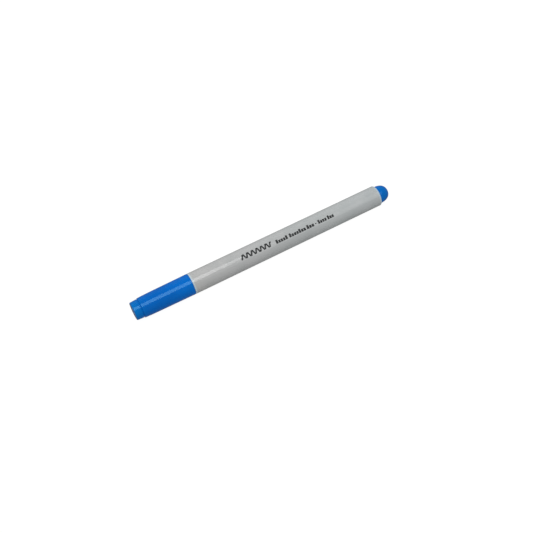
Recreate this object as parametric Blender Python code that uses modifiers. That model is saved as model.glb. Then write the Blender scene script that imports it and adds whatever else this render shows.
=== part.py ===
"""A capped fibre-tip marker pen, modelled as it comes apart on a bench.

Frame: the pen lies along X, its cap towards -X and its domed plug towards +X. The origin is under the
middle of the pen, on the surface that it rests on, and +Z is up. Metres throughout.

Every turned piece is drawn in the pen's own frame: (radius, distance from the closed end of the cap).
"""

import math

import bmesh
import bpy

MM = 0.001

# Driving dimensions. A name ending in _AT is a distance from the closed end of the cap.
LENGTH = 140.0 * MM
BARREL_RADIUS = 5.30 * MM
FIT = 0.30 * MM  # room left between neighbouring pieces
SEGMENTS = 32  # flats around every turned piece

CAP_LENGTH = 30.0 * MM
CAP_NECK_LENGTH = 3.7 * MM
CAP_END_RADIUS = 4.50 * MM
CAP_BODY_RADIUS = 5.09 * MM
CAP_LIP_RADIUS = 5.29 * MM
CAP_WALL = 0.84 * MM
CAP_FLOOR = 1.2 * MM

BARREL_FRONT_AT = CAP_LENGTH + FIT
BARREL_REAR_AT = 134.15 * MM
BORE_RADIUS = 4.35 * MM
MOUTH_RADIUS = 4.85 * MM  # counterbore that takes the front section's collar
MOUTH_DEPTH = 1.3 * MM
PLUG_SEAT_RADIUS = 4.60 * MM
PLUG_SEAT_AT = 126.0 * MM
FIN_COUNT = 6
FIN_WIDTH = 0.6 * MM

NIB_RADIUS = 1.15 * MM
NIB_TIP_AT = 7.0 * MM
NIB_END_AT = 51.0 * MM
NOSE_AT = 10.0 * MM
LAND_RADIUS = 2.85 * MM  # smooth ring that the cap's liner seals on
LAND_END_AT = 17.8 * MM
NECK_RADIUS = 4.10 * MM
BEAD_HEIGHT = 0.15 * MM
BEAD_AT = 24.3 * MM
SPIGOT_END_AT = 44.0 * MM
VENT_COUNT = 3
VENT_WIDTH = 0.5 * MM

RESERVOIR_AT = SPIGOT_END_AT + 0.4 * MM
RESERVOIR_END_AT = 117.5 * MM
CORE_RADIUS = 3.0 * MM
FILM = 0.2 * MM

DOME_RADIUS = 4.30 * MM
PLUG_FRONT_AT = 119.0 * MM
PLUG_WALL = 0.9 * MM
DOME_STEPS = 9

AXIS_HEIGHT = BARREL_RADIUS * math.cos(math.pi / SEGMENTS)  # a flat of the barrel rests on Z = 0

# sRGB colour, roughness
GREY_PLASTIC = ((0.73, 0.74, 0.74), 0.32)
BLUE_PLASTIC = ((0.04, 0.42, 0.80), 0.30)
LINER_PLASTIC = ((0.85, 0.87, 0.88), 0.40)
NIB_FIBRE = ((0.10, 0.40, 0.78), 0.90)
CORE_FIBRE = ((0.22, 0.50, 0.82), 0.95)
FILM_PLASTIC = ((0.90, 0.92, 0.93), 0.15)


def linear(channel):
    """One sRGB channel, 0 to 1, as linear light."""
    return channel / 12.92 if channel <= 0.04045 else ((channel + 0.055) / 1.055) ** 2.4


def give_material(piece, finish):
    """A material of the piece's own, named after it."""
    colour, roughness = finish
    material = bpy.data.materials.new(piece.name)
    material.use_nodes = True
    shader = material.node_tree.nodes["Principled BSDF"]
    shader.inputs["Base Color"].default_value = (*[linear(c) for c in colour], 1.0)
    shader.inputs["Roughness"].default_value = roughness
    shader.inputs["Metallic"].default_value = 0.0
    piece.data.materials.append(material)


def turned(name, profile, parent, finish, collection, closed=False):
    """A solid of revolution about the parent's Z axis.

    The profile is a list of (radius, distance) points with the material on the right of the direction of
    travel. It starts and ends on the axis, or is a closed ring.
    """
    mesh = bpy.data.meshes.new(name)
    count = len(profile)
    edges = [(i, i + 1) for i in range(count - 1)]
    if closed:
        edges.append((count - 1, 0))
    mesh.from_pydata([(radius, 0.0, along) for radius, along in profile], edges, [])
    piece = bpy.data.objects.new(name, mesh)
    collection.objects.link(piece)
    piece.parent = parent
    piece.rotation_euler.z = math.pi / SEGMENTS  # puts a flat, and not an edge, underneath
    screw = piece.modifiers.new("turn", "SCREW")
    screw.axis = "Z"
    screw.angle = 2.0 * math.pi
    screw.steps = SEGMENTS
    screw.render_steps = SEGMENTS
    screw.use_merge_vertices = True
    screw.merge_threshold = 0.00001
    screw.use_smooth_shade = True
    give_material(piece, finish)
    return piece


def box(name, size, centre, angle, parent, collection):
    """A box in the parent's frame, turned by an angle about the parent's Z axis."""
    mesh = bpy.data.meshes.new(name)
    shape = bmesh.new()
    bmesh.ops.create_cube(shape, size=1.0)
    bmesh.ops.scale(shape, vec=size, verts=shape.verts)
    bmesh.ops.translate(shape, vec=centre, verts=shape.verts)
    shape.to_mesh(mesh)
    shape.free()
    piece = bpy.data.objects.new(name, mesh)
    collection.objects.link(piece)
    piece.parent = parent
    piece.rotation_euler.z = angle
    piece.display_type = "WIRE"
    piece.hide_render = True
    return piece


def combine(piece, helper, operation):
    """Joins a helper to the piece, or cuts the piece with it."""
    boolean = piece.modifiers.new(helper.name, "BOOLEAN")
    boolean.operation = operation
    boolean.solver = "EXACT"
    boolean.object = helper


def cap_radius(along):
    """The cap's outer radius past its step: a slight taper that eases in from the step."""
    share = (along - CAP_NECK_LENGTH) / (CAP_LENGTH - CAP_NECK_LENGTH)
    taper = CAP_BODY_RADIUS + (CAP_LIP_RADIUS - CAP_BODY_RADIUS) * share
    ease = 0.2 * MM * math.exp(-(along - CAP_NECK_LENGTH) / (2.5 * MM))
    return taper - ease


def make_cap_shell(parent, collection):
    """The blue cap: closed and slightly stepped at one end, open at the other."""
    neck = CAP_NECK_LENGTH
    inner_step = neck + 1.2 * MM
    seat_radius = CAP_END_RADIUS - CAP_WALL
    inner_radius = CAP_BODY_RADIUS - CAP_WALL
    lip_inner = CAP_LIP_RADIUS - CAP_WALL
    body = [neck + d * MM for d in (25.0, 12.0, 6.0, 3.5, 1.8, 0.9, 0.25)]
    profile = [
        (0.0, CAP_FLOOR),
        (seat_radius, CAP_FLOOR),
        (seat_radius, inner_step - 0.6 * MM),
        (inner_radius - 0.05 * MM, inner_step),
        (inner_radius, LAND_END_AT - 0.8 * MM),
        (lip_inner, LAND_END_AT),
        (lip_inner, CAP_LENGTH),
        (CAP_LIP_RADIUS - 0.16 * MM, CAP_LENGTH),
        (CAP_LIP_RADIUS - 0.04 * MM, CAP_LENGTH - 0.15 * MM),
        *[(cap_radius(along), along) for along in body],
        (CAP_END_RADIUS + 0.20 * MM, neck),
        (CAP_END_RADIUS + 0.15 * MM, neck - 0.8 * MM),
        (CAP_END_RADIUS, 0.9 * MM),
        (CAP_END_RADIUS - 0.12 * MM, 0.3 * MM),
        (CAP_END_RADIUS - 0.45 * MM, 0.0),
        (0.0, 0.0),
    ]
    return turned("cap_shell", profile, parent, BLUE_PLASTIC, collection)


def make_cap_liner(parent, collection):
    """The inner cup pressed into the cap, which seals on the front section and keeps the nib wet."""
    wall = 0.7 * MM
    foot_radius = CAP_END_RADIUS - CAP_WALL - FIT
    cup_radius = CAP_BODY_RADIUS - CAP_WALL - FIT - 0.1 * MM
    foot_at = CAP_FLOOR + FIT
    step_at = CAP_NECK_LENGTH + 0.3 * MM
    rim_at = LAND_END_AT - 0.5 * MM
    profile = [
        (0.0, foot_at + wall),
        (foot_radius - wall, foot_at + wall),
        (foot_radius - wall, step_at + 0.3 * MM),
        (cup_radius - wall, step_at + wall + 0.5 * MM),
        (cup_radius - wall, rim_at),
        (cup_radius - 0.2 * MM, rim_at),
        (cup_radius, rim_at - 0.3 * MM),
        (cup_radius, step_at + wall + 0.3 * MM),
        (foot_radius, step_at),
        (foot_radius, foot_at + 0.3 * MM),
        (foot_radius - 0.3 * MM, foot_at),
        (0.0, foot_at),
    ]
    return turned("cap_liner", profile, parent, LINER_PLASTIC, collection)


def make_barrel(parent, collection, helpers):
    """The grey tube, with fins along its bore that hold the reservoir in the middle."""
    rear = BARREL_REAR_AT
    front = BARREL_FRONT_AT
    profile = [
        (PLUG_SEAT_RADIUS, rear),
        (BARREL_RADIUS - 0.40 * MM, rear - 0.18 * MM),
        (BARREL_RADIUS - 0.18 * MM, rear - 0.65 * MM),
        (BARREL_RADIUS - 0.08 * MM, rear - 1.45 * MM),
        (BARREL_RADIUS - 0.03 * MM, rear - 3.6 * MM),
        (BARREL_RADIUS, rear - 7.0 * MM),
        (BARREL_RADIUS, front + 0.6 * MM),
        (BARREL_RADIUS - 0.04 * MM, front + 0.15 * MM),
        (BARREL_RADIUS - 0.15 * MM, front),
        (MOUTH_RADIUS, front),
        (MOUTH_RADIUS, front + MOUTH_DEPTH),
        (BORE_RADIUS, front + MOUTH_DEPTH),
        (BORE_RADIUS, PLUG_SEAT_AT),
        (PLUG_SEAT_RADIUS, PLUG_SEAT_AT),
    ]
    barrel = turned("barrel", profile, parent, GREY_PLASTIC, collection, closed=True)
    inner = CORE_RADIUS + FIT + FILM + FIT
    outer = BORE_RADIUS + 0.3 * MM
    start = RESERVOIR_AT + 2.0 * MM
    size = (outer - inner, FIN_WIDTH, RESERVOIR_END_AT - 1.0 * MM - start)
    centre = ((inner + outer) / 2.0, 0.0, start + size[2] / 2.0)
    for i in range(FIN_COUNT):
        angle = (i + 0.5) * 2.0 * math.pi / FIN_COUNT
        fin = box(f"fin_{i + 1}", size, centre, angle, parent, helpers)
        combine(barrel, fin, "UNION")
    return barrel


def make_front_section(parent, collection, helpers):
    """The nib holder: nose, seal land, neck with a snap bead, collar, and a spigot inside the barrel."""
    front = BARREL_FRONT_AT
    collar_radius = MOUTH_RADIUS - FIT
    spigot_radius = BORE_RADIUS - FIT
    bore = NIB_RADIUS + FIT
    chamber = spigot_radius - 0.95 * MM
    chamber_at = 27.5 * MM
    profile = [
        (spigot_radius - 0.3 * MM, SPIGOT_END_AT),
        (spigot_radius, SPIGOT_END_AT - 0.5 * MM),
        (spigot_radius, front + MOUTH_DEPTH - FIT),
        (collar_radius, front + MOUTH_DEPTH - FIT),
        (collar_radius, front + 0.15 * MM),
        (collar_radius - 0.15 * MM, front),
        (NECK_RADIUS, front),
        (NECK_RADIUS, BEAD_AT + 0.9 * MM),
        (NECK_RADIUS + BEAD_HEIGHT, BEAD_AT + 0.3 * MM),
        (NECK_RADIUS + BEAD_HEIGHT, BEAD_AT - 0.3 * MM),
        (NECK_RADIUS, BEAD_AT - 0.9 * MM),
        (NECK_RADIUS, LAND_END_AT + 1.1 * MM),
        (NECK_RADIUS - 0.3 * MM, LAND_END_AT + 0.3 * MM),
        (NECK_RADIUS - 0.6 * MM, LAND_END_AT),
        (LAND_RADIUS, LAND_END_AT),
        (LAND_RADIUS, LAND_END_AT - 2.2 * MM),
        (LAND_RADIUS - 0.62 * MM, NOSE_AT + 0.5 * MM),
        (LAND_RADIUS - 0.80 * MM, NOSE_AT),
        (bore, NOSE_AT),
        (bore, chamber_at - 1.6 * MM),
        (chamber, chamber_at),
        (chamber, SPIGOT_END_AT),
    ]
    section = turned("front_section", profile, parent, GREY_PLASTIC, collection, closed=True)
    depth = bore + 0.3 * MM
    size = (depth, VENT_WIDTH, chamber_at - NOSE_AT + 1.0 * MM)
    centre = (depth / 2.0, 0.0, NOSE_AT - 0.5 * MM + size[2] / 2.0)
    for i in range(VENT_COUNT):
        angle = (i + 0.25) * 2.0 * math.pi / VENT_COUNT
        vent = box(f"vent_{i + 1}", size, centre, angle, parent, helpers)
        combine(section, vent, "DIFFERENCE")
    return section


def make_nib(parent, collection):
    """The fibre rod that writes, with a bullet tip."""
    bullet = 1.8 * MM
    steps = 5
    profile = [
        (0.0, NIB_END_AT),
        (NIB_RADIUS - 0.25 * MM, NIB_END_AT),
        (NIB_RADIUS, NIB_END_AT - 0.5 * MM),
    ]
    for i in range(steps):
        turn = 0.5 * math.pi * i / steps
        profile.append((NIB_RADIUS * math.cos(turn), NIB_TIP_AT + bullet * (1.0 - math.sin(turn))))
    profile.append((0.0, NIB_TIP_AT))
    return turned("nib", profile, parent, NIB_FIBRE, collection)


def make_reservoir_core(parent, collection):
    """The fibre rod that holds the ink, with the hole that the nib's rear end is pushed into."""
    socket = NIB_RADIUS + FIT
    socket_end = NIB_END_AT + FIT
    profile = [
        (0.0, RESERVOIR_END_AT),
        (CORE_RADIUS, RESERVOIR_END_AT),
        (CORE_RADIUS, RESERVOIR_AT),
        (socket, RESERVOIR_AT),
        (socket, socket_end),
        (0.0, socket_end),
    ]
    return turned("reservoir_core", profile, parent, CORE_FIBRE, collection)


def make_reservoir_sleeve(parent, collection):
    """The plastic film wrapped round the reservoir, open at both ends."""
    inner = CORE_RADIUS + FIT
    outer = inner + FILM
    profile = [
        (outer, RESERVOIR_END_AT),
        (outer, RESERVOIR_AT),
        (inner, RESERVOIR_AT),
        (inner, RESERVOIR_END_AT),
    ]
    return turned("reservoir_sleeve", profile, parent, FILM_PLASTIC, collection, closed=True)


def make_end_plug(parent, collection):
    """The blue domed plug, hollow behind, with two barbs that hold it in the barrel."""
    dome = LENGTH - BARREL_REAR_AT
    barb_radius = BORE_RADIUS - FIT
    stem_radius = barb_radius - 0.25 * MM
    hollow = stem_radius - PLUG_WALL
    collar_end = PLUG_SEAT_AT + FIT
    profile = [(0.0, LENGTH)]
    for i in range(1, DOME_STEPS + 1):
        turn = 0.5 * math.pi * i / DOME_STEPS
        profile.append((DOME_RADIUS * math.sin(turn), BARREL_REAR_AT + dome * math.cos(turn)))
    profile += [(DOME_RADIUS, collar_end), (stem_radius, collar_end)]
    for barb_at in (collar_end - 1.7 * MM, collar_end - 4.1 * MM):
        profile += [(stem_radius, barb_at), (barb_radius, barb_at), (stem_radius, barb_at - 1.2 * MM)]
    profile += [
        (stem_radius, PLUG_FRONT_AT + 0.4 * MM),
        (stem_radius - 0.3 * MM, PLUG_FRONT_AT),
        (hollow, PLUG_FRONT_AT),
        (hollow, BARREL_REAR_AT - 3.0 * MM),
        (0.0, BARREL_REAR_AT - 1.5 * MM),
    ]
    return turned("end_plug", profile, parent, BLUE_PLASTIC, collection)


def make_axis(name, collection):
    """An empty at the closed end of the cap, on the pen's axis, with its Z along the pen."""
    empty = bpy.data.objects.new(name, None)
    empty.location = (-LENGTH / 2.0, 0.0, AXIS_HEIGHT)
    empty.rotation_euler = (0.0, math.pi / 2.0, 0.0)
    collection.objects.link(empty)
    return empty


def main():
    for old in list(bpy.data.objects):
        bpy.data.objects.remove(old, do_unlink=True)
    collection = bpy.data.collections.new("marker_pen")
    helpers = bpy.data.collections.new("fins_and_vents")
    for group in (collection, helpers):
        bpy.context.scene.collection.children.link(group)
    pen_axis = make_axis("pen_axis", collection)
    cap_slide = make_axis("cap_slide", collection)
    make_barrel(pen_axis, collection, helpers)
    make_front_section(pen_axis, collection, helpers)
    make_nib(pen_axis, collection)
    make_reservoir_core(pen_axis, collection)
    make_reservoir_sleeve(pen_axis, collection)
    make_end_plug(pen_axis, collection)
    make_cap_shell(cap_slide, collection)
    make_cap_liner(cap_slide, collection)


main()
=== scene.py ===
import math

import bpy
import numpy as np
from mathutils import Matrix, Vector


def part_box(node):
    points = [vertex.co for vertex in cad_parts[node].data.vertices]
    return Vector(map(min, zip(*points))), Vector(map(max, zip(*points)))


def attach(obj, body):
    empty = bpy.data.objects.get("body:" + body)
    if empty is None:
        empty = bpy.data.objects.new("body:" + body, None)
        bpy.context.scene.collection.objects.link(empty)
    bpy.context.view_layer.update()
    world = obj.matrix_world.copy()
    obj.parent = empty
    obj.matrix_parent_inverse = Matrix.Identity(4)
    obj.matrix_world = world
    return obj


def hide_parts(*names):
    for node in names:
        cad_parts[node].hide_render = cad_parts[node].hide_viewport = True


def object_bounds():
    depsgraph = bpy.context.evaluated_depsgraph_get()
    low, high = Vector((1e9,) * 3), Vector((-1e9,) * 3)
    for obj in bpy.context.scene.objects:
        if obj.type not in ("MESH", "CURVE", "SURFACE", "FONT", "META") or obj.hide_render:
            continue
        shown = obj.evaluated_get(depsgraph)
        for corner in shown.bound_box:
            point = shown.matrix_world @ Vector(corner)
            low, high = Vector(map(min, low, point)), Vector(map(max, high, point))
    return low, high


# Capped fibre-tip marker pen. Every length below is in millimetres and every place along the pen is
# counted from the closed end of the cap, unless a note says otherwise.

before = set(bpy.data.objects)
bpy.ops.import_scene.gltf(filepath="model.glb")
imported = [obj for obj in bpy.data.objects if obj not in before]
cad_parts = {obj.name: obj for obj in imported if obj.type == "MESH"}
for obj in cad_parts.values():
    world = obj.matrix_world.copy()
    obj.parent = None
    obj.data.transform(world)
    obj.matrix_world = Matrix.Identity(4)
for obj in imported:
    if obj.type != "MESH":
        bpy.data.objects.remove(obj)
cadLow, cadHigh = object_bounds()
print("frame: loaded", len(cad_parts), "nodes")

mm = 0.001
barrelLow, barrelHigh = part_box("barrel")
penStart = cadLow.x  # metres, as the next line is
penLength = (cadHigh.x - cadLow.x) / mm
axisHeight = (barrelLow.z + barrelHigh.z) / 2


def stationOf(node, side):
    # how far along the pen a CAD node starts (side 0) or ends (side 1)
    return (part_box(node)[side].x - penStart) / mm


surface = {
    "around": 240,  # points round every turned piece
    "arcSteps": 7,  # points on every rounded corner
    "hold": 0.25,  # how far past a corner its flat neighbours are held, as a share of its reach
    "longestStep": 1.5,
}


def roundedLine(corners):
    # Corners are rows of (place along the pen, radius, rounding). Each corner P with unit directions a
    # in and b out becomes the arc P - a * reach + rounding * (sin s * a + (1 - cos s) * n), where n is
    # the side it turns to and reach = rounding * tan(turn / 2). A point is added a little way along
    # both straights, so that they stay flat when shaded.
    rows = np.array(corners, float)
    place, rounding = rows[:, :2], rows[:, 2]
    ahead = np.diff(place, axis=0)
    ahead = ahead / np.linalg.norm(ahead, axis=1)[:, None]
    a = np.vstack([ahead[:1], ahead])
    b = np.vstack([ahead, ahead[-1:]])
    turn = np.arccos(np.clip((a * b).sum(1), -1, 1))
    side = np.sign(a[:, 0] * b[:, 1] - a[:, 1] * b[:, 0])
    n = np.stack([-a[:, 1], a[:, 0]], 1) * side[:, None]
    reach = rounding * np.tan(turn / 2)
    s = turn[:, None] * np.linspace(0, 1, surface["arcSteps"])
    start = place - a * reach[:, None]
    sideways = 1 - np.cos(s)
    arc = start[:, None] + rounding[:, None, None] * (
        np.sin(s)[..., None] * a[:, None] + sideways[..., None] * n[:, None]
    )
    hold = surface["hold"] * reach[:, None]
    points = np.concatenate([(start - a * hold)[:, None], arc, (arc[:, -1] + b * hold)[:, None]], 1)
    keep = np.repeat((rounding > 0)[:, None], points.shape[1], 1)
    keep[:, 1] = True
    return points[keep]


def evenSteps(line, closed):
    # splits each straight run so that no step is longer than longestStep
    ends = np.vstack([line[1:], line[:1]]) if closed else line[1:]
    starts = line if closed else line[:-1]
    length = np.linalg.norm(ends - starts, axis=1)
    parts = np.maximum(1, np.ceil(length / surface["longestStep"])).astype(int)
    which = np.repeat(np.arange(len(parts)), parts)
    step = np.arange(parts.sum()) - np.repeat(np.cumsum(parts) - parts, parts)
    share = (step / parts[which])[:, None]
    points = starts[which] + (ends - starts)[which] * share
    return points if closed else np.vstack([points, line[-1:]])


def gridFaces(rows, columns, wrapRows, wrapColumns):
    # four-cornered faces of a grid of points whose rows or columns may join up
    i, j = np.meshgrid(
        np.arange(rows if wrapRows else rows - 1),
        np.arange(columns if wrapColumns else columns - 1),
        indexing="ij",
    )
    below, beside = (i + 1) % rows, (j + 1) % columns
    corners = [i * columns + j, below * columns + j, below * columns + beside, i * columns + beside]
    return np.stack(corners, -1).reshape(-1, 4)


def meshPiece(name, points, faces, material):
    # points in metres, in the frame that all the pieces share; the object stays at the origin
    mesh = bpy.data.meshes.new(name)
    mesh.from_pydata(points, [], faces)
    mesh.polygons.foreach_set("use_smooth", np.ones(len(faces), bool))
    mesh.update()
    mesh.materials.append(material)
    piece = bpy.data.objects.new(name, mesh)
    bpy.context.scene.collection.objects.link(piece)
    return piece


def penPoints(along, radius, angle):
    # (along, radius, angle) round the pen's axis as metres; angle 0 is straight up and grows towards -Y
    return np.stack(
        np.broadcast_arrays(
            penStart + along * mm,
            -radius * np.sin(angle) * mm,
            axisHeight + radius * np.cos(angle) * mm,
        ),
        -1,
    )


def turnedPiece(name, line, material, closed=False, shape=None):
    # Surface of revolution: the point (x, r) of the line at angle v is x along the axis and r away from
    # it, turned by v. shape(x, r, v) may add to r. A line that isn't closed starts and ends on the axis,
    # where its row is one point. The line keeps the material on its left, with x to the right and r up,
    # so that faces point out.
    line = evenSteps(np.asarray(line, float), closed)
    v = np.arange(surface["around"]) * 2 * math.pi / surface["around"]
    along, radius = line[:, :1], line[:, 1:]
    if shape is not None:
        radius = radius + shape(along, radius, v)
    points = penPoints(along, radius, v)
    count, around = points.shape[:2]
    if closed:
        faces = gridFaces(count, around, True, True).tolist()
        return meshPiece(name, points.reshape(-1, 3), faces, material)
    body = points[1:-1].reshape(-1, 3)
    poles = np.stack([points[0, 0], points[-1, 0]])
    ring = np.arange(around)
    nextOne = (ring + 1) % around
    first, last = len(body), len(body) + 1
    lastRow = len(body) - around
    startFan = np.stack([np.full(around, first), ring, nextOne], 1)
    endFan = np.stack([np.full(around, last), lastRow + nextOne, lastRow + ring], 1)
    faces = gridFaces(count - 2, around, False, True).tolist() + startFan.tolist() + endFan.tolist()
    return meshPiece(name, np.vstack([body, poles]), faces, material)


def linear(hexColour):
    # sRGB hex to linear light
    channels = np.array([int(hexColour[i:i + 2], 16) for i in (1, 3, 5)]) / 255
    light = np.where(channels <= 0.04045, channels / 12.92, ((channels + 0.055) / 1.055) ** 2.4)
    return (*light.tolist(), 1.0)


def addNode(tree, kind, settings=None, links=None):
    # adds one node; a setting is an input's name or number, or one of the node's own properties
    node = tree.nodes.new("ShaderNode" + kind)
    for key, value in (settings or {}).items():
        if isinstance(key, int) or key in node.inputs:
            node.inputs[key].default_value = value
        else:
            setattr(node, key, value)
    for key, (source, output) in (links or {}).items():
        tree.links.new(source.outputs[output], node.inputs[key])
    return node


noiseRange = {"From Min": 0.3, "From Max": 0.7}  # noise seldom leaves this
noiseDetail = 2.5


def makeFinish(name, look, shaderSettings):
    # One Principled shader. Its colour goes from shade to colour, its roughness from low to high and its
    # relief from 0 to depth with three noises, whose features are the look's sizes in mm. They are read
    # in object coordinates from the pen's axis, with lengths along it divided by each one's stretch.
    # A look with stations takes its colour from a ramp along the pen, which the shade then multiplies.
    material = bpy.data.materials.new(name)
    material.use_nodes = True
    tree = material.node_tree
    tree.nodes.clear()
    place = addNode(tree, "TexCoord")
    pattern = []
    for size, stretch in (look["cloud"], look["streak"], look["grain"]):
        fromAxis = addNode(
            tree,
            "Mapping",
            {"Location": (0.0, 0.0, -axisHeight), "Scale": (1 / stretch, 1.0, 1.0)},
            {"Vector": (place, "Object")},
        )
        noise = {"Scale": 1 / (size * mm), "Detail": noiseDetail}
        pattern.append(addNode(tree, "TexNoise", noise, {"Vector": (fromAxis, "Vector")}))
    cloud, streak, grain = pattern
    tint = addNode(tree, "MapRange", noiseRange, {"Value": (cloud, "Fac")})
    low, high = look["roughness"]
    glossRange = {**noiseRange, "To Min": low, "To Max": high}
    gloss = addNode(tree, "MapRange", glossRange, {"Value": (streak, "Fac")})
    bump = addNode(tree, "Bump", {"Distance": look["depth"] * mm}, {"Height": (grain, "Fac")})
    if "stations" in look:
        split = addNode(tree, "SeparateXYZ", links={"Vector": (place, "Object")})
        ends = {"From Min": cadLow.x, "From Max": cadHigh.x}
        share = addNode(tree, "MapRange", ends, {"Value": (split, "X")})
        ramp = addNode(tree, "ValToRGB", links={"Fac": (share, "Result")})
        stops = ramp.color_ramp.elements
        for index, (station, stopColour) in enumerate(look["stations"]):
            stop = stops[index] if index < 2 else stops.new(station / penLength)
            stop.position = station / penLength
            stop.color = linear(stopColour)
        mix = {"data_type": "RGBA", "blend_type": "MULTIPLY", 7: linear(look["shade"])}
        colour = addNode(tree, "Mix", mix, {0: (tint, "Result"), 6: (ramp, "Color")})
    else:
        mix = {"data_type": "RGBA", 6: linear(look["shade"]), 7: linear(look["colour"])}
        colour = addNode(tree, "Mix", mix, {0: (tint, "Result")})
    links = {
        "Base Color": (colour, 2),
        "Roughness": (gloss, "Result"),
        "Normal": (bump, "Normal"),
    }
    shader = addNode(tree, "BsdfPrincipled", shaderSettings, links)
    addNode(tree, "OutputMaterial", links={"Surface": (shader, "BSDF")})
    return material


# Grey polypropylene, moulded in a polished steel tool: light and even, a little cooler towards the rear,
# with a soft sheen that runs the length of the tube and wavers. The colour ramp paints the tube's thin
# edges paler and bluish: a painted highlight with a painted reflection of the cap and the plug.
greyPlastic = {
    # the stops at 30.1, 30.5 and 133.5 paint a pale bluish highlight on the tube's front and rear edges
    "stations": ((30.0, "#c4c5c5"), (30.1, "#cdeafc"), (30.5, "#cfe4ee"), (31.0, "#c6c6c5"),
                 (62.0, "#c4c5c5"), (110.0, "#c2c6c6"), (133.0, "#c2c6c7"), (133.5, "#c6dce9")),
    "shade": "#f5f7f7",
    "cloud": (7.0, 1.0),
    "streak": (0.35, 40.0),  # lines drawn by the core pin and by the tool's polish
    "grain": (1.6, 1.0),  # orange peel, drawn a few times wider than the real one so that it shows
    "depth": 0.0038,
    "roughness": (0.10, 0.15),
}
greyFinish = makeFinish("greyPolypropylene", greyPlastic, {"IOR": 1.49})

# Blue polypropylene, moulded and strongly pigmented: saturated, with a highlight that the pigment
# tints. It grows a little lighter and greener towards the closed end of the cap.
bluePlastic = {
    "stations": ((0.0, "#007bd2"), (3.4, "#0074d2"), (6.0, "#006dd0"), (16.0, "#006dd1"),
                 (27.0, "#0074da"), (134.0, "#0073d2"), (140.0, "#0073d2")),
    "shade": "#f0f2f4",
    "sheen": "#94d9f2",
    "cloud": (5.0, 1.0),
    "streak": (0.5, 20.0),
    "grain": (2.0, 1.0),  # orange peel, again drawn wider than it is
    "depth": 0.003,
    "roughness": (0.11, 0.15),
}
blueSettings = {"IOR": 1.49, "Specular Tint": linear(bluePlastic["sheen"])}
blueFinish = makeFinish("bluePolypropylene", bluePlastic, blueSettings)

# Uncoloured polypropylene from an eroded tool: milky, waxy, and slightly see-through at its edges.
linerPlastic = {
    "colour": "#e3e6e6",
    "shade": "#d9dedf",
    "cloud": (2.5, 1.0),
    "streak": (0.12, 1.0),
    "grain": (0.12, 1.0),  # spark-eroded grain, about four times its real 0.03 mm so that it shows
    "depth": 0.002,
    "roughness": (0.34, 0.46),
    "glowDepth": 0.8,  # how far light travels inside it
}
linerSettings = {
    "IOR": 1.49,
    "Subsurface Weight": 0.35,
    "Subsurface Radius": (1.0, 1.0, 1.0),
    "Subsurface Scale": linerPlastic["glowDepth"] * mm,
}
linerFinish = makeFinish("naturalPolypropylene", linerPlastic, linerSettings)

# Bonded polyester fibre soaked in blue ink: matt, with strands along it and painted shade between them.
# A real strand is about 0.03 mm thick; both rods' strands are drawn coarser so that they show.
nibFibre = {
    "colour": "#2f74c8",
    "shade": "#1a4fa0",
    "cloud": (0.09, 30.0),
    "streak": (0.09, 30.0),
    "grain": (0.09, 30.0),
    "depth": 0.012,
    "roughness": (0.9, 0.6),  # strands that stand out are wetter
}
nibFinish = makeFinish("bondedPolyesterNib", nibFibre, {"IOR": 1.45})

# like the nib's, its colour darkens between the strands, where its relief dips: painted shade
coreFibre = {
    "colour": "#6ea4da",
    "shade": "#3a72b4",
    "cloud": (0.16, 30.0),
    "streak": (0.16, 30.0),
    "grain": (0.16, 30.0),
    "depth": 0.03,
    "roughness": (0.9, 0.6),
}
coreFinish = makeFinish("soakedPolyesterTow", coreFibre, {"IOR": 1.45})

# Thin polypropylene film, shrunk round the tow: milky and glossy, with shallow wrinkles along it.
# its colour darkens in the wrinkles' troughs, where its relief dips: painted shade
wrapFilm = {
    "colour": "#e9eef0",
    "shade": "#d3dde2",
    "cloud": (1.4, 6.0),
    "streak": (1.4, 6.0),
    "grain": (1.4, 6.0),
    "depth": 0.02,
    "roughness": (0.1, 0.2),
}
filmFinish = makeFinish("shrunkPolypropyleneFilm", wrapFilm, {"IOR": 1.49})

# Black pad-printing ink: a thin, slightly matt coat, greyer in specks where it is thin. The specks are
# about three times their real size so that they show.
printInk = {
    "colour": "#121416",
    "shade": "#25282a",
    "cloud": (0.12, 1.0),
    "streak": (0.12, 1.0),
    "grain": (0.12, 1.0),
    "depth": 0.001,
    "roughness": (0.40, 0.55),
}
inkFinish = makeFinish("padPrintingInk", printInk, {"IOR": 1.5})
print("materials: made")


capSizes = {
    "length": stationOf("cap_shell", 1) + 0.1,  # closes a third of the room that the CAD leaves
    "lipRadius": 5.29,
    "lipRounding": (0.14, 0.16),  # inside and outside
    "lipStraight": 0.45,
    "stepRadius": 5.09,  # where the body's straight taper would meet the step
    "stepEase": 0.20,
    "easeLength": 2.5,
    "step": 3.95,
    "ridge": 0.60,  # the body's curve stops this far from the step, and a rounded ridge takes over
    "neckRadius": 4.70,
    "neckTaper": 0.14,
    "taperEnd": 1.6,
    "grooveDepth": 0.22,
    "grooveWidth": 0.18,
    "endRadius": 4.44,
    "endRounding": 0.38,
    "gateRadius": 0.75,  # a shallow dish where the plastic came into the mould
    "gateDepth": 0.06,
    "wall": 0.84,
    "floor": 1.2,
    "innerStep": 1.2,  # past the outer step
    "neckRoom": (17.0, 17.8),  # where the inside widens for the front section's neck
    "bodyPoints": 60,
}


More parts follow.
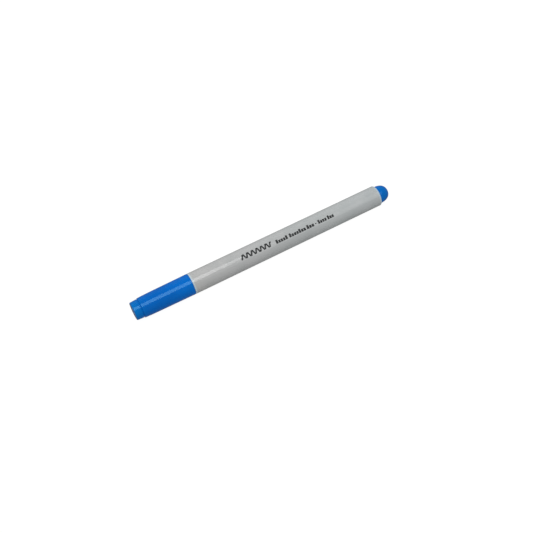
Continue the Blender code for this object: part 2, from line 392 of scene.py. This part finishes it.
def makeCapShell():
    # Body: r = step radius + taper * share - ease * exp(-(x - step) / ease length)
    c = capSizes
    length, step, neck = c["length"], c["step"], c["neckRadius"]
    x = np.linspace(length - c["lipStraight"], step + c["ridge"], c["bodyPoints"])
    share = (x - step) / (length - step)
    fade = np.exp(-(x - step) / c["easeLength"])
    r = c["stepRadius"] + (c["lipRadius"] - c["stepRadius"]) * share - c["stepEase"] * fade
    body = np.stack([x, r], 1)
    innerStep = step + c["innerStep"]
    inner = c["stepRadius"] - c["wall"]
    seat = c["endRadius"] - c["wall"]
    lipInner = c["lipRadius"] - c["wall"]
    groove = neck - c["grooveDepth"]
    inside = roundedLine([
        (c["floor"], 0, 0),
        (c["floor"], seat, 0.3),
        (innerStep - 0.6, seat, 0.2),
        (innerStep, inner - 0.05, 0.2),
        (c["neckRoom"][0], inner, 0.3),
        (c["neckRoom"][1], lipInner, 0.3),
        (length, lipInner, c["lipRounding"][0]),
        (length, c["lipRadius"], c["lipRounding"][1]),
        (length - 0.40, c["lipRadius"], 0),  # short of the body's first point
    ])
    outside = roundedLine([
        (step + 0.26, r[-1] + 0.03, 0),  # up on to the ridge, and round its edge
        (step + 0.02, r[-1] + 0.02, 0.16),
        (step - 0.04, groove, 0.06),
        (step - 0.04 - c["grooveWidth"], groove, 0.06),
        (step - 0.50, neck - 0.04, 0.20),  # out of the groove, and down the neck's taper
        (c["taperEnd"], neck - c["neckTaper"], 1.5),
        (0.0, c["endRadius"], c["endRounding"]),
        (0.0, c["gateRadius"], 0.03),
        (c["gateDepth"], c["gateRadius"] - 0.05, 0.03),
        (c["gateDepth"], 0, 0),
    ])
    return turnedPiece("cap", np.vstack([inside, body, outside]), blueFinish)


linerSizes = {
    "wall": 0.7,
    "footRoom": 0.12,  # between it and the cap at their closed ends
    "cupRoom": 0.25,  # and round its wider part
    "stepRoom": 0.3,
    "rim": stationOf("cap_liner", 1),
    "seal": 0.14,  # height of the bead inside the rim that seals on the front section
}


def makeCapLiner():
    # a stepped cup with an even wall, like the cap that holds it
    c, n = capSizes, linerSizes
    wall, rim = n["wall"], n["rim"]
    foot = c["endRadius"] - c["wall"] - n["footRoom"]
    cup = c["stepRadius"] - c["wall"] - n["cupRoom"]
    low = c["floor"] + n["footRoom"]
    step = c["step"] + n["stepRoom"]
    line = roundedLine([
        (low + wall, 0, 0),
        (low + wall, foot - wall, 0.25),
        (step + 0.3, foot - wall, 0.2),
        (step + 1.2, cup - wall, 0.2),
        (rim - 0.9, cup - wall, 0.1),  # the sealing bead
        (rim - 0.5, cup - wall - n["seal"], 0.15),
        (rim, cup - wall, 0.15),
        (rim, cup - 0.05, 0.15),
        (rim - 0.8, cup, 0.2),
        (step + 1.0, cup, 0.2),
        (step, foot, 0.2),
        (low, foot, 0.3),
        (low, 0, 0),
    ])
    return turnedPiece("capLiner", line, linerFinish)


barrelSizes = {
    "front": stationOf("barrel", 0) - 0.1,
    "rear": stationOf("barrel", 1) - 0.12,  # a little short, so that more of the dome shows
    "radius": 5.29,
    "straight": 2,  # the front keeps its full radius for this long
    "waist": 5.215,  # the tube narrows to this at waistAt, so that it leaves its mould
    "waistAt": 95.0,
    "rearRadius": 5.205,
    "rearRound": (0.66, 0.68),  # along the pen, and across it
    "rearPoints": 16,
    "rearTaper": 6.5,  # the last stretch, over which it goes from the waist to the rear radius
    "frontRounding": 0.13,
    "innerRounding": 0.06,
    "bore": 4.35,
    "mouth": 4.85,
    "mouthDepth": 1.3,
    "plugSeat": 126.0,
    "fins": 6,
    "finHeight": 0.55,
    "finWidth": 0.6,
    "finFillet": 0.05,
    "finFrom": 46.4,
    "finTo": 116.5,
    "finRunOut": 0.2,
}


def barrelRadius(along):
    # falls in a straight line from the front to the waist, and stays there
    b = barrelSizes
    ends = (b["front"] + b["straight"], b["waistAt"])
    return np.interp(along, ends, (b["radius"], b["waist"]))


def evenRidges(angle, count, offset, radius, width, softness):
    # 1 on ridges at even turns round a circle, and 0 between them. The change from one to the other is
    # 1 / (1 + exp((distance from the ridge's middle - width / 2) / softness)).
    turn = (angle / (2 * math.pi) * count + offset) % 1 - 0.5
    across = np.abs(turn) * 2 * math.pi * radius / count
    return 1 / (1 + np.exp((across - width / 2) / softness))


def barrelFins(along, radius, angle):
    # fins stand towards the axis wherever the point is on the bore between their ends
    b = barrelSizes
    ridge = evenRidges(angle, b["fins"], 0, b["bore"], b["finWidth"], b["finFillet"])
    onBore = np.abs(radius - b["bore"]) < 0.01
    within = (along > b["finFrom"]) & (along < b["finTo"])
    return np.where(onBore & within, -b["finHeight"] * ridge, 0.0)


def makeBarrel():
    # Rear edge: x = rear - a + a sin s, r = R - b + b cos s, with s falling from a quarter turn to zero
    b = barrelSizes
    front, rear, bore, runOut = b["front"], b["rear"], b["bore"], b["finRunOut"]
    a, across = b["rearRound"]
    s = np.linspace(math.pi / 2, 0, b["rearPoints"])
    x = rear - a + a * np.sin(s)
    r = b["rearRadius"] - across + across * np.cos(s)
    edge = np.stack([x, r], 1)
    mouthEnd = front + b["mouthDepth"]
    rest = roundedLine([
        (rear - a - 0.2, b["rearRadius"] + 0.002, 0),  # keeps the edge's shading short
        (rear - b["rearTaper"], b["waist"], 0),
        (b["waistAt"], b["waist"], 0),
        (front + b["straight"], b["radius"], 0),
        (front, b["radius"], b["frontRounding"]),
        (front, b["mouth"], b["innerRounding"]),
        (mouthEnd, b["mouth"], b["innerRounding"]),
        (mouthEnd, bore, b["innerRounding"]),
        (b["finFrom"] - 0.01, bore, 0),
        (b["finFrom"] + runOut, bore, 0),
        (b["finTo"] - runOut, bore, 0),
        (b["finTo"] + 0.01, bore, 0),
        (b["plugSeat"], bore, 0),
        (b["plugSeat"] + 0.4, r[0], 0),  # opens for the plug's collar
        (rear - 0.2, r[0], 0),
    ])
    line = np.vstack([edge, rest])
    return turnedPiece("barrelTube", line, greyFinish, closed=True, shape=barrelFins)


plugSizes = {
    "end": stationOf("end_plug", 1),
    "front": stationOf("end_plug", 0),
    "dome": 4.44,
    "power": 2.5,  # above 2, so the dome is fuller than an ellipse
    "domePoints": 64,
    "collarEnd": 126.3,
    "barb": 4.05,
    "barbs": (1.7, 4.1),  # places in front of the collar
    "barbSlope": 1.2,
    "stem": 3.8,
    "wall": 0.9,
}


def makeEndPlug():
    # Dome: x = base + length * cos^(2/power) s, r = R sin^(2/power) s, from the tip to the rear rim
    p = plugSizes
    base = barrelSizes["rear"] - 0.1
    s = np.linspace(0, math.pi / 2, p["domePoints"])
    e = 2 / p["power"]
    x = base + (p["end"] - base) * np.clip(np.cos(s), 0, 1) ** e
    dome = np.stack([x, p["dome"] * np.sin(s) ** e], 1)
    stem = p["stem"]
    hollow = stem - p["wall"]
    corners = [
        (base - 0.5, p["dome"], 0),
        (p["collarEnd"], p["dome"], 0.1),
        (p["collarEnd"], stem, 0.1),
    ]
    for ahead in p["barbs"]:
        barbAt = p["collarEnd"] - ahead
        corners += [
            (barbAt, stem, 0.05),
            (barbAt, p["barb"], 0.05),
            (barbAt - p["barbSlope"], stem, 0.2),
        ]
    corners += [
        (p["front"] + 0.4, stem, 0.1),
        (p["front"], stem - 0.3, 0.1),
        (p["front"], hollow, 0.1),
        (base - 3.0, hollow, 0.6),
        (base - 1.5, 0, 0),
    ]
    return turnedPiece("endPlug", np.vstack([dome, roundedLine(corners)]), blueFinish)


sectionSizes = {
    "nose": stationOf("front_section", 0),
    "end": stationOf("front_section", 1),
    "bore": 1.22,
    "chamber": 3.1,
    "chamberAt": 27.5,
    "land": 2.85,
    "landEnd": 17.8,
    "neck": 4.10,
    "bead": 0.16,
    "beadAt": 24.3,
    "spigot": 4.25,
    "noseRadius": 2.07,
    "collarRoom": 0.05,  # between its collar and the barrel's mouth
    "vents": 3,
    "ventDepth": 0.42,
    "ventWidth": 0.5,
    "ventFillet": 0.03,
}


def sectionVents(along, radius, angle):
    # soft-edged grooves deepen the nib's bore at even turns
    c = sectionSizes
    groove = evenRidges(angle, c["vents"], 0.25, c["bore"], c["ventWidth"], c["ventFillet"])
    onBore = (radius < c["bore"] + 0.01) & (along < c["chamberAt"] - 1.5)
    return np.where(onBore, c["ventDepth"] * groove, 0.0)


def makeFrontSection():
    # from the spigot in the barrel, over the neck and the seal's land to the nose, and back inside
    c, b = sectionSizes, barrelSizes
    end, spigot, neck, bore = c["end"], c["spigot"], c["neck"], c["bore"]
    collar = b["mouth"] - c["collarRoom"]
    collarEnd = b["front"] + b["mouthDepth"] - c["collarRoom"]
    line = roundedLine([
        (end, spigot - 0.3, 0),
        (end - 0.5, spigot, 0.1),
        (collarEnd, spigot, 0.05),
        (collarEnd, collar, 0.05),
        (b["front"], collar, 0.12),
        (b["front"], neck, 0.15),
        (c["beadAt"] + 0.9, neck, 0.5),
        (c["beadAt"], neck + c["bead"], 0.6),
        (c["beadAt"] - 0.9, neck, 0.5),
        (c["landEnd"], neck, 0.7),
        (c["landEnd"], c["land"], 0.12),
        (c["landEnd"] - 2.2, c["land"], 1.2),
        (c["nose"], c["noseRadius"], 0.25),
        (c["nose"], bore, 0),
        (c["nose"] + 0.05, bore, 0),
        (c["chamberAt"] - 1.6, bore, 0),
        (c["chamberAt"], c["chamber"], 0.2),
        (end, c["chamber"], 0.1),
        (end, spigot - 0.5, 0),
    ])
    return turnedPiece("frontSection", line, greyFinish, closed=True, shape=sectionVents)


nibSizes = {
    "tip": stationOf("nib", 0),
    "end": stationOf("nib", 1),
    "radius": 1.15,
    "bullet": 1.8,
    "power": 2.3,  # above 2, so the tip is blunter than an ellipse
    "tipPoints": 40,
}


def makeNib():
    # Bullet tip: x = tip + bullet * (1 - cos^(2/power) s), r = R sin^(2/power) s
    n = nibSizes
    s = np.linspace(math.pi / 2, 0, n["tipPoints"])
    e = 2 / n["power"]
    x = n["tip"] + n["bullet"] * (1 - np.clip(np.cos(s), 0, 1) ** e)
    r = n["radius"] * np.sin(s) ** e
    rod = roundedLine([
        (n["end"], 0, 0),
        (n["end"], n["radius"], 0.3),
        (n["tip"] + n["bullet"] + 0.5, n["radius"], 0),
    ])
    return turnedPiece("fibreNib", np.vstack([rod, np.stack([x, r], 1)]), nibFinish)


reservoirSizes = {
    "start": stationOf("reservoir_core", 0),
    "end": stationOf("reservoir_core", 1),
    "core": 3.0,
    "socket": 1.25,
    "socketEnd": 51.2,
    "filmInner": 3.12,
    "filmOuter": 3.3,
    "filmRounding": 0.04,
}


def makeReservoirCore():
    # a rod with rounded ends and a socket for the nib
    c = reservoirSizes
    line = roundedLine([
        (c["end"], 0, 0),
        (c["end"], c["core"], 0.2),
        (c["start"], c["core"], 0.2),
        (c["start"], c["socket"], 0.15),
        (c["socketEnd"], c["socket"], 0.15),
        (c["socketEnd"], 0, 0),
    ])
    return turnedPiece("reservoirCore", line, coreFinish)


def makeReservoirSleeve():
    # a thin tube with rounded edges
    c = reservoirSizes
    rounding = c["filmRounding"]
    line = roundedLine([
        (c["end"], c["filmOuter"] - 0.09, 0),
        (c["end"], c["filmOuter"], rounding),
        (c["start"], c["filmOuter"], rounding),
        (c["start"], c["filmInner"], rounding),
        (c["end"], c["filmInner"], rounding),
        (c["end"], c["filmInner"] + 0.08, 0),
    ])
    return turnedPiece("reservoirSleeve", line, filmFinish, closed=True)


printSizes = {
    "baseline": 31.4,  # degrees from straight up towards -Y
    "rise": 0.02,  # the ink's face above the plastic
    "sink": 0.03,  # and its hidden back below it
    "wave": (56.1, 72.8),
    "waves": 7,
    "waveLevel": 0.21,  # share of each wave that runs level, at its top and again at its foot
    "waveHeight": 2.60,
    "waveStroke": 0.74,
    "runs": ((75.1, 81.4), (82.4, 91.5), (92.2, 96.1), (98.5, 103.1), (103.8, 107.2)),
    "blockPitch": 1.26,
    "blockGap": 0.25,
    "blockHeight": 1.40,
    "tallHeight": 1.95,
    "tallEvery": 4,
    "dash": (96.8, 97.6),
    "dashHeight": (0.62, 1.02),
    "wavePoints": (7, 4),  # along each straight of the wave, and across it
    "blockPoints": (4, 8),  # along and up each block
    "dashPoints": 3,  # both ways
}


def printPatch(along, height):
    # one slab of ink: a grid of (along, height above the baseline) wrapped round the barrel by
    # angle = baseline - height / radius, with a lower sheet just inside the plastic and walls between
    p = printSizes
    along, height = np.broadcast_arrays(along, height)
    rows, columns = along.shape
    radius = barrelRadius(along)
    angle = math.radians(p["baseline"]) - height / radius
    above = penPoints(along, radius + p["rise"], angle).reshape(-1, 3)
    below = penPoints(along, radius - p["sink"], angle).reshape(-1, 3)
    number = np.arange(rows * columns).reshape(rows, columns)
    rim = np.concatenate([number[0, :-1], number[:-1, -1], number[-1, :0:-1], number[:0:-1, 0]])
    nextRim = np.roll(rim, -1)
    top = gridFaces(rows, columns, False, False)
    walls = np.stack([rim, nextRim, nextRim + number.size, rim + number.size], 1)
    return np.vstack([above, below]), np.vstack([top, top[:, ::-1] + number.size, walls])


def makeWave():
    # A line that runs level, slants, runs level and slants back, carried as a ribbon of even width: each
    # point moves out along (n1 + n2) / (1 + n1 . n2), where n1 and n2 are its two sides' normals.
    p = printSizes
    start, end = p["wave"]
    half = p["waveStroke"] / 2
    turns = np.arange(4 * p["waves"])
    pitch = (end - start) / (p["waves"] - 0.5 + p["waveLevel"])
    place = start + (turns // 2) * pitch / 2 + (turns % 2) * p["waveLevel"] * pitch
    height = np.where((turns // 2) % 2 == 0, half, p["waveHeight"] - half)
    line = np.stack([place, height], 1)
    ahead = np.diff(line, axis=0)
    ahead = ahead / np.linalg.norm(ahead, axis=1)[:, None]
    normal = np.stack([-ahead[:, 1], ahead[:, 0]], 1)
    n1, n2 = np.vstack([normal[:1], normal]), np.vstack([normal, normal[-1:]])
    out = (n1 + n2) / (1 + (n1 * n2).sum(1))[:, None]
    share = np.linspace(0, 1, p["wavePoints"][0])[:-1, None]
    along = (line[:-1, None] * (1 - share) + line[1:, None] * share).reshape(-1, 2)
    side = (out[:-1, None] * (1 - share) + out[1:, None] * share).reshape(-1, 2)
    along, side = np.vstack([along, line[-1:]]), np.vstack([side, out[-1:]])
    across = np.linspace(-half, half, p["wavePoints"][1])[:, None]
    ribbon = along[:, None] + side[:, None] * across
    return printPatch(ribbon[..., 0], ribbon[..., 1])


def makePrint():
    # A wave, a dash, and runs of blocks: upright rectangles with even gaps, a few of them taller. The
    # number of blocks in a run is (its length + gap) / pitch, rounded, and they share the run evenly.
    p = printSizes
    wide, high = p["blockPoints"]
    dashAlong = np.linspace(*p["dash"], p["dashPoints"])[:, None]
    dashUp = np.linspace(*p["dashHeight"], p["dashPoints"])
    patches = [makeWave(), printPatch(dashAlong, dashUp)]
    for start, end in p["runs"]:
        count = round((end - start + p["blockGap"]) / p["blockPitch"])
        edge = np.linspace(start, end + p["blockGap"], count + 1)
        for index, (left, right) in enumerate(zip(edge[:-1], edge[1:] - p["blockGap"])):
            top = p["tallHeight"] if index % p["tallEvery"] == 0 else p["blockHeight"]
            along = np.linspace(left, right, wide)[:, None]
            patches.append(printPatch(along, np.linspace(0, top, high)))
    offset = 0
    points, faces = [], []
    for patchPoints, patchFaces in patches:
        points.append(patchPoints)
        faces.append(patchFaces + offset)
        offset += len(patchPoints)
    return meshPiece("printedMarks", np.vstack(points), np.vstack(faces).tolist(), inkFinish)


capShell = makeCapShell()
capLiner = makeCapLiner()
barrel = makeBarrel()
endPlug = makeEndPlug()
frontSection = makeFrontSection()
nib = makeNib()
reservoirCore = makeReservoirCore()
reservoirSleeve = makeReservoirSleeve()
printedMarks = makePrint()
print("pieces: made")

for piece, node, body, slot in (
    (capShell, "cap_shell", "cap", "blue_plastic"),
    (capLiner, "cap_liner", "cap", "liner_plastic"),
    (barrel, "barrel", "pen", "grey_plastic"),
    (endPlug, "end_plug", "pen", "blue_plastic"),
    (frontSection, "front_section", "pen", "grey_plastic"),
    (nib, "nib", "pen", "nib_fibre"),
    (reservoirCore, "reservoir_core", "pen", "core_fibre"),
    (reservoirSleeve, "reservoir_sleeve", "pen", "film_plastic"),
):
    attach(piece, body)
    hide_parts(node)
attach(printedMarks, "pen")
print("pieces: ride on their bodies")


studio = {
    "ambient": 0.45,  # how bright the room is for everything but reflections and the camera
    "ambientGloss": 0.28,  # how bright the room looks in reflections
    "groundGloss": 0.19,  # and everything below the horizon
    "backdrop": 1.0,  # how bright it looks behind the floor's far edge
    "horizon": 0.05,  # how softly the two halves of the room meet
    "softboxLight": 3.8,  # radiance, as the fill's is
    "softboxPlace": (-0.04, -0.10, 0.80),  # metres, as every length here is
    "softboxSize": (0.42, 0.47),
    "sideLight": 1.05,  # a wide weak one that only shows in the sheen of the tube's rear
    "sidePlace": (0.40, -0.42, 0.80),
    "sideSize": (0.44, 0.84),
    "fillLight": 1.25,
    "fillPlace": (0.0, 0.75, 0.45),
    "fillSize": (0.9, 0.5),
    "floorSize": 6.0,
    "floorPoints": 5,
    "floorDrop": 0.00003,  # below the pen's lowest line, so that the two don't meet
    "floorColour": "#585858",
    "floorGlow": 0.96,
    "floorWaver": 0.01,  # share by which the glow rises and falls with the paper's fibres
    "fibreSize": 0.6,  # mm
    "cameraPlace": (-0.104066, -0.189969, 0.376128),
    "cameraTurn": -28.934,  # degrees
    "cameraHeight": 60.854,
    "lens": 59.88,  # mm, on film 36 mm wide
    "film": 36,
}


def makeFloor():
    # Pale matt paper that is lit from within a little, like a light table, so that it stays white under
    # the pen. It doesn't throw its light back at the pen.
    s = studio
    material = bpy.data.materials.new("paleFloorPaper")
    material.use_nodes = True
    tree = material.node_tree
    tree.nodes.clear()
    place = addNode(tree, "TexCoord")
    fibre = addNode(
        tree, "TexNoise", {"Scale": 1 / (s["fibreSize"] * mm)}, {"Vector": (place, "Object")}
    )
    low, high = s["floorGlow"] * (1 - s["floorWaver"]), s["floorGlow"] * (1 + s["floorWaver"])
    glow = {"To Min": low, "To Max": high}
    tone = addNode(tree, "MapRange", glow, {"Value": (fibre, "Fac")})
    paper = {
        "Base Color": linear(s["floorColour"]),
        "Roughness": 0.95,
        "Specular IOR Level": 0.1,
        "Emission Color": (1, 1, 1, 1),
    }
    shader = addNode(tree, "BsdfPrincipled", paper, {"Emission Strength": (tone, "Result")})
    addNode(tree, "OutputMaterial", links={"Surface": (shader, "BSDF")})
    half, count = s["floorSize"] / 2, s["floorPoints"]
    u = np.linspace(-half, half, count)
    x, y = np.meshgrid(u, u, indexing="ij")
    points = np.stack([x, y, np.full_like(x, -s["floorDrop"])], -1).reshape(-1, 3)
    floor = meshPiece("floor", points, gridFaces(count, count, False, False).tolist(), material)
    floor.visible_diffuse = False
    floor.visible_glossy = False


def makeSoftbox(name, light, place, size):
    # power = radiance * pi * area; it shines straight down until it is turned
    data = bpy.data.lights.new(name, "AREA")
    data.shape = "RECTANGLE"
    data.size, data.size_y = size
    data.energy = light * math.pi * size[0] * size[1]
    softbox = bpy.data.objects.new(name, data)
    softbox.location = place
    bpy.context.scene.collection.objects.link(softbox)
    return softbox


def makeAir():
    # even light from all round, which reflections show as a grey room with a darker lower half
    s = studio
    world = bpy.data.worlds.new("studioAir")
    bpy.context.scene.world = world
    world.use_nodes = True
    tree = world.node_tree
    tree.nodes.clear()
    ray = addNode(tree, "LightPath")
    way = addNode(tree, "TexCoord")
    split = addNode(tree, "SeparateXYZ", links={"Vector": (way, "Generated")})
    horizon = {
        "From Min": -s["horizon"],
        "From Max": s["horizon"],
        "To Min": s["groundGloss"],
        "To Max": s["ambientGloss"],
    }
    mirrored = addNode(tree, "MapRange", horizon, {"Value": (split, "Z")})
    lit = {"Value": (ray, "Is Glossy Ray"), "To Max": (mirrored, "Result")}
    room = addNode(tree, "MapRange", {"To Min": s["ambient"]}, lit)
    seen = {"Value": (ray, "Is Camera Ray"), "To Min": (room, "Result")}
    strength = addNode(tree, "MapRange", {"To Max": s["backdrop"]}, seen)
    white = {"Color": (1, 1, 1, 1)}
    background = addNode(tree, "Background", white, {"Strength": (strength, "Result")})
    addNode(tree, "OutputWorld", links={"Surface": (background, "Background")})


def makeLights():
    s = studio
    makeSoftbox("softbox", s["softboxLight"], s["softboxPlace"], s["softboxSize"])
    side = makeSoftbox("sideLight", s["sideLight"], s["sidePlace"], s["sideSize"])
    side.visible_diffuse = False
    fill = makeSoftbox("fill", s["fillLight"], s["fillPlace"], s["fillSize"])
    fill.rotation_euler = (-math.atan2(s["fillPlace"][1], s["fillPlace"][2]), 0, 0)  # faces the pen
    fill.visible_glossy = False


def makeCamera():
    # the camera looks back along (sin a cos e, -cos a cos e, sin e)
    s = studio
    a, e = math.radians(s["cameraTurn"]), math.radians(s["cameraHeight"])
    data = bpy.data.cameras.new("camera")
    data.lens = s["lens"]
    data.sensor_width = s["film"]
    data.clip_start = 0.01
    camera = bpy.data.objects.new("camera", data)
    camera.location = s["cameraPlace"]
    camera.rotation_euler = (math.pi / 2 - e, 0, a)
    bpy.context.scene.collection.objects.link(camera)
    bpy.context.scene.camera = camera


makeFloor()
makeAir()
makeLights()
makeCamera()
bpy.context.scene.view_settings.view_transform = "Standard"
print("studio: set")
